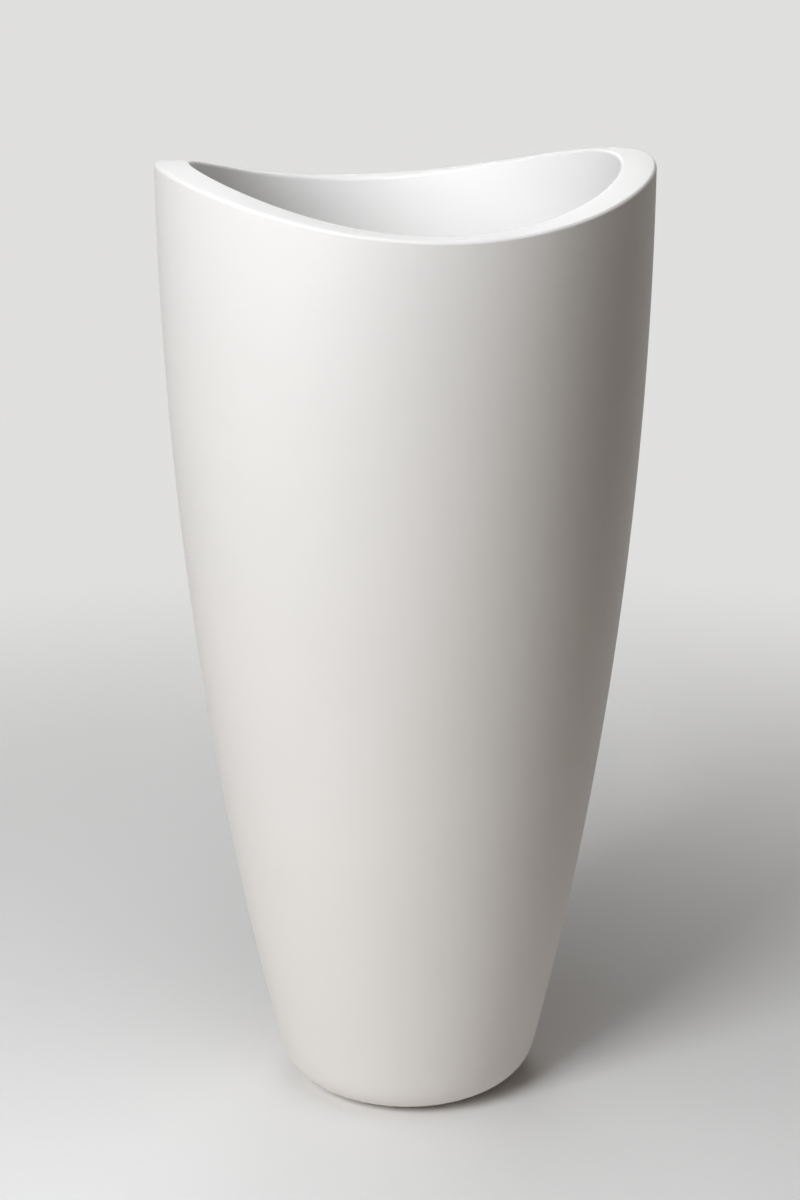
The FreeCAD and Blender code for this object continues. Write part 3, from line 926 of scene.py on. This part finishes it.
@dataclass
class WaterGauge:
    """The fill tube with its cap, float and rod, in millimetres."""

    tube_wall: float = 2.0
    inlets: int = 4
    inlet_width: float = 6.0
    inlet_height: float = 10.0
    edge: float = 0.6
    cap_wall: float = 2.0
    cap_top: float = 3.0
    cap_grips: int = 24
    grip_depth: float = 0.4
    rod_radius: float = 3.0
    rod_clearance: float = 0.4
    rod_edge: float = 1.2
    float_length: float = 30.0
    float_edge: float = 2.0
    edge_parts: int = 6
    marks: int = 5
    mark_pitch: float = 10.0
    mark_width: float = 1.6
    mark_depth: float = 0.25
    first_mark: float = 8.0

    def build_tube(self) -> None:
        """Build the tube with the inlets at its foot."""
        box = Extent.of("fill_tube")
        inner = box.radius - self.tube_wall
        outline = Section().to(inner, box.low.z).to(box.radius, box.low.z)
        outline.to(box.radius, box.high.z).to(inner, box.high.z)
        bm = outline.turned(box.place, steps=TUBE_STEPS)
        soften(bm, self.edge)
        inlets = bmesh.new()
        upright = Matrix.Rotation(-QUARTER_TURN, 4, "Y")
        depth = self.tube_wall + 2.0 * OVERRUN
        for index in range(self.inlets):
            turn = moved(*box.place, box.low.z) @ turned_by(FULL_TURN * index / self.inlets)
            place = turn @ moved(box.radius + OVERRUN, 0.0, 0.0) @ upright
            add_pill(inlets, 2.0 * self.inlet_height, self.inlet_width, depth, place)
        bm = joined(bm, inlets, Join.CUT)
        finished(bm, "fill_tube", "liner", GREY_TUBE)

    def build_cap(self) -> None:
        """Build the cap, with grip ribs round its skirt."""
        box = Extent.of("tube_cap")
        bore = box.radius - self.cap_wall
        hole = self.rod_radius + self.rod_clearance
        under_top = box.high.z - self.cap_top
        outline = Section().to(bore, box.low.z).to(box.radius, box.low.z).to(box.radius, box.high.z)
        outline.to(hole, box.high.z).to(hole, under_top).to(bore, under_top)
        bm = outline.turned()
        soften(bm, self.edge)
        for vert in bm.verts:
            across = Vector((vert.co.x, vert.co.y, 0.0))
            if across.length > (bore + self.cap_wall / 2.0) * MM:
                angle = math.atan2(across.y, across.x)
                wave = 0.5 - 0.5 * math.cos(self.cap_grips * angle)
                vert.co -= across.normalized() * self.grip_depth * wave * MM
        bmesh.ops.transform(bm, matrix=moved(*box.place, 0.0), verts=bm.verts[:])
        finished(bm, "tube_cap", "cap", GREY_TUBE)

    def build_gauge(self) -> None:
        """Build the float and its rod, with white level marks in shallow grooves."""
        box = Extent.of("gauge_float")
        rod, tip = self.rod_radius, box.high.z
        shoulder = box.low.z + self.float_length
        edge, parts = self.float_edge, self.edge_parts
        outline = Section().to(0.0, box.low.z)
        outline.arc((box.radius - edge, box.low.z + edge), edge, -QUARTER_TURN, 0.0, parts)
        outline.arc((box.radius - edge, shoulder - edge), edge, 0.0, QUARTER_TURN, parts)
        outline.to(rod, shoulder)
        groove = rod - self.mark_depth
        first = tip - self.first_mark
        levels = [first - self.mark_pitch * index for index in reversed(range(self.marks))]
        for level in levels:
            low, high = level - self.mark_width / 2.0, level + self.mark_width / 2.0
            outline.to(rod, low).to(groove, low).to(groove, high).to(rod, high)
        outline.arc((rod - self.rod_edge, tip - self.rod_edge), self.rod_edge, 0.0, QUARTER_TURN, parts)
        outline.to(0.0, tip)
        bm = outline.turned(steps=STEM_STEPS)
        reach = (rod - self.mark_depth / 2.0) * MM
        below, above = (levels[0] - self.mark_width) * MM, (levels[-1] + self.mark_width) * MM
        for face in bm.faces:
            middle = face.calc_center_median()
            if below < middle.z < above and Vector((middle.x, middle.y)).length < reach:
                face.material_index = 1
        bmesh.ops.transform(bm, matrix=moved(*box.place, 0.0), verts=bm.verts[:])
        piece = finished(bm, "gauge_float", "gauge", RED_GAUGE)
        piece.data.materials.append(WHITE_MARK.material())

    def build(self) -> None:
        """Build and dress the tube, the cap and the gauge."""
        self.build_tube()
        self.build_cap()
        self.build_gauge()


@dataclass(frozen=True)
class SoftLamp:
    """Square lamp that faces a point of the planter.

    Args:
        name: Name of the lamp.
        place: Where it hangs, in metres.
        size: Length of its sides.
        power: Power in watts.
        colour: Colour of its light.
        aim: The point that it faces.
        spread: Angle that its light fans out to, in degrees.
    """

    name: str
    place: Point
    size: float
    power: float
    colour: Colour
    aim: Point = (0.0, 0.0, 0.45)
    spread: float = 180.0

    def hang(self) -> None:
        """Put the lamp into the scene."""
        data = bpy.data.lights.new(self.name, "AREA")
        data.size = self.size
        data.energy = self.power
        data.color = self.colour
        data.spread = math.radians(self.spread)
        lamp = bpy.data.objects.new(self.name, data)
        lamp.location = self.place
        facing = Vector(self.aim) - Vector(self.place)
        lamp.rotation_euler = facing.to_track_quat("-Z", "Y").to_euler()
        bpy.context.scene.collection.objects.link(lamp)


KEY_LAMP = SoftLamp(
    "key_lamp", place=(-1.4, -1.28, 1.45), size=0.9, power=34.0, colour=(0.955, 0.978, 1.0)
)
TOP_LAMP = SoftLamp(
    "top_lamp", place=(-0.25, -0.35, 2.6), size=1.2, power=15.5, colour=(0.97, 0.985, 1.0)
)
BACK_LAMP = SoftLamp(
    "back_lamp", place=(0.35, 1.8, 1.9), size=1.2, power=8.0, colour=(0.98, 0.99, 1.0)
)
MOUTH_LAMP = SoftLamp(
    "mouth_lamp", place=(-0.25, -1.25, 2.1), size=0.25, power=0.095, colour=(0.97, 0.985, 1.0),
    aim=(0.06, 0.15, 0.7), spread=12.0,
)


@dataclass
class Studio:
    """Plain floor, soft lamps and the camera, in metres and degrees."""

    distance: float = 2.0324
    height: float = 1.0457
    azimuth: float = -12.0
    yaw: float = 0.154
    pitch: float = 16.816
    roll: float = -0.2
    focal_px: float = 2525.8
    frame_px: tuple[int, int] = (800, 1200)
    lamps: tuple[SoftLamp, ...] = (KEY_LAMP, TOP_LAMP, BACK_LAMP, MOUTH_LAMP)
    floor_radius: float = 60.0
    floor_steps: int = 96
    floor_roughness: float = 0.7
    fade_start: float = 0.35
    fade_end: float = 1.7
    floor_colour: Colour = (0.96, 0.955, 0.95)
    bounce_colour: Colour = (0.96, 0.9, 0.84)
    far_bounce_colour: Colour = (0.35, 0.25, 0.15)
    backdrop_colour: Colour = (0.745, 0.74, 0.735)
    fill_colour: Colour = (1.0, 0.7, 0.42)
    fill_strength: float = 0.025

    @staticmethod
    def seen_rays(tree: NodeTree) -> NodeSocket:
        """Add nodes that are 1 for camera, glossy and transmission rays and 0 for the rest.

        Args:
            tree: Node tree of the floor's finish or the world.

        Returns:
            The socket with the value.
        """
        ray = tree.nodes.new("ShaderNodeLightPath")
        value = ray.outputs["Is Camera Ray"]
        for kind in ("Is Glossy Ray", "Is Transmission Ray"):
            either = tree.nodes.new("ShaderNodeMath")
            either.operation = "MAXIMUM"
            tree.links.new(value, either.inputs[0])
            tree.links.new(ray.outputs[kind], either.inputs[1])
            value = either.outputs["Value"]
        return value

    @staticmethod
    def mixed(tree: NodeTree, share: NodeSocket, first: NodeSocket, second: NodeSocket) -> NodeSocket:
        """Mix two shaders.

        Args:
            tree: Node tree that takes the mix.
            share: Socket with the share of the second shader.
            first: Shader that is left where the share is 0.
            second: Shader that is left where the share is 1.

        Returns:
            The socket with the mix.
        """
        mix = tree.nodes.new("ShaderNodeMixShader")
        for source, socket in zip((share, first, second), mix.inputs):
            tree.links.new(source, socket)
        return mix.outputs["Shader"]

    def fade(self, tree: NodeTree) -> NodeSocket:
        """Add nodes that go from 0 under the planter to 1 away from it.

        Args:
            tree: Node tree of the floor's finish.

        Returns:
            The socket with the value.
        """
        place = tree.nodes.new("ShaderNodeTexCoord")
        away = tree.nodes.new("ShaderNodeVectorMath")
        away.operation = "LENGTH"
        tree.links.new(place.outputs["Object"], away.inputs[0])
        span = tree.nodes.new("ShaderNodeMapRange")
        span.interpolation_type = "SMOOTHSTEP"
        span.inputs["From Min"].default_value = self.fade_start
        span.inputs["From Max"].default_value = self.fade_end
        tree.links.new(away.outputs["Value"], span.inputs["Value"])
        return span.outputs["Result"]

    def shown_floor(self, tree: NodeTree, fade: NodeSocket) -> NodeSocket:
        """Pale floor that is seen, which turns into the backdrop away from the planter.

        Args:
            tree: Node tree of the floor's finish.
            fade: Socket with the way from near to far.

        Returns:
            The socket with the shader.
        """
        shader = tree.nodes["Principled BSDF"]
        shader.inputs["Base Color"].default_value = (*self.floor_colour, 1.0)
        shader.inputs["Roughness"].default_value = self.floor_roughness
        glow = tree.nodes.new("ShaderNodeEmission")
        glow.inputs["Color"].default_value = (*self.backdrop_colour, 1.0)
        return self.mixed(tree, fade, shader.outputs["BSDF"], glow.outputs["Emission"])

    def bounce_floor(self, tree: NodeTree, fade: NodeSocket) -> NodeSocket:
        """Matt floor that throws light back at the planter, less so from far away.

        Args:
            tree: Node tree of the floor's finish.
            fade: Socket with the way from near to far.

        Returns:
            The socket with the shader.
        """
        parts = []
        for colour in (self.bounce_colour, self.far_bounce_colour):
            matt = tree.nodes.new("ShaderNodeBsdfDiffuse")
            matt.inputs["Color"].default_value = (*colour, 1.0)
            parts.append(matt.outputs["BSDF"])
        return self.mixed(tree, fade, *parts)

    def floor_material(self) -> Material:
        """Make the floor's finish.

        Returns:
            The material.
        """
        material = bpy.data.materials.new("studio_floor")
        material.use_nodes = True
        tree = material.node_tree
        fade = self.fade(tree)
        bounce, shown = self.bounce_floor(tree, fade), self.shown_floor(tree, fade)
        surface = tree.nodes["Material Output"].inputs["Surface"]
        tree.links.new(self.mixed(tree, self.seen_rays(tree), bounce, shown), surface)
        return material

    def floor(self) -> None:
        """Lay the pale floor."""
        bm = bmesh.new()
        bmesh.ops.create_circle(bm, cap_ends=True, segments=self.floor_steps, radius=self.floor_radius)
        floor = linked(bm, "studio_floor")
        floor.data.materials.append(self.floor_material())

    def world(self) -> None:
        """Fill the shade with a weak even light and show a pale background."""
        world = bpy.data.worlds.new("studio_world")
        bpy.context.scene.world = world
        world.use_nodes = True
        tree = world.node_tree
        fill = tree.nodes["Background"]
        fill.inputs["Color"].default_value = (*self.fill_colour, 1.0)
        fill.inputs["Strength"].default_value = self.fill_strength
        pale = tree.nodes.new("ShaderNodeBackground")
        pale.inputs["Color"].default_value = (*self.backdrop_colour, 1.0)
        parts = fill.outputs["Background"], pale.outputs["Background"]
        surface = tree.nodes["World Output"].inputs["Surface"]
        tree.links.new(self.mixed(tree, self.seen_rays(tree), *parts), surface)

    def camera(self) -> None:
        """Place the camera at the photograph's viewing angle."""
        data = bpy.data.cameras.new("camera")
        data.sensor_fit = "VERTICAL"
        data.angle = 2.0 * math.atan(self.frame_px[1] / 2.0 / self.focal_px)
        camera = bpy.data.objects.new("camera", data)
        turn = math.radians(self.azimuth)
        camera.location = (math.sin(turn) * self.distance, -math.cos(turn) * self.distance, self.height)
        camera.rotation_euler = (
            math.radians(90.0 - self.pitch), 0.0, math.radians(self.azimuth + self.yaw),
        )
        camera.matrix_world = camera.matrix_basis @ Matrix.Rotation(math.radians(self.roll), 4, "Z")
        bpy.context.scene.collection.objects.link(camera)
        bpy.context.scene.camera = camera

    def build(self) -> None:
        """Set up the floor, lamps, background and camera."""
        bpy.context.scene.view_settings.view_transform = "Standard"
        self.floor()
        self.world()
        for lamp in self.lamps:
            lamp.hang()
        self.camera()


def main() -> None:
    """Build and dress the planter from the sizes of the frame, and set up the studio."""
    logging.basicConfig(level=logging.INFO, format="%(name)s: %(message)s")
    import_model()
    for assembly in (Shell, Liner, WaterStore, WaterGauge, Studio):
        assembly().build()


if __name__ == "__main__":
    main()
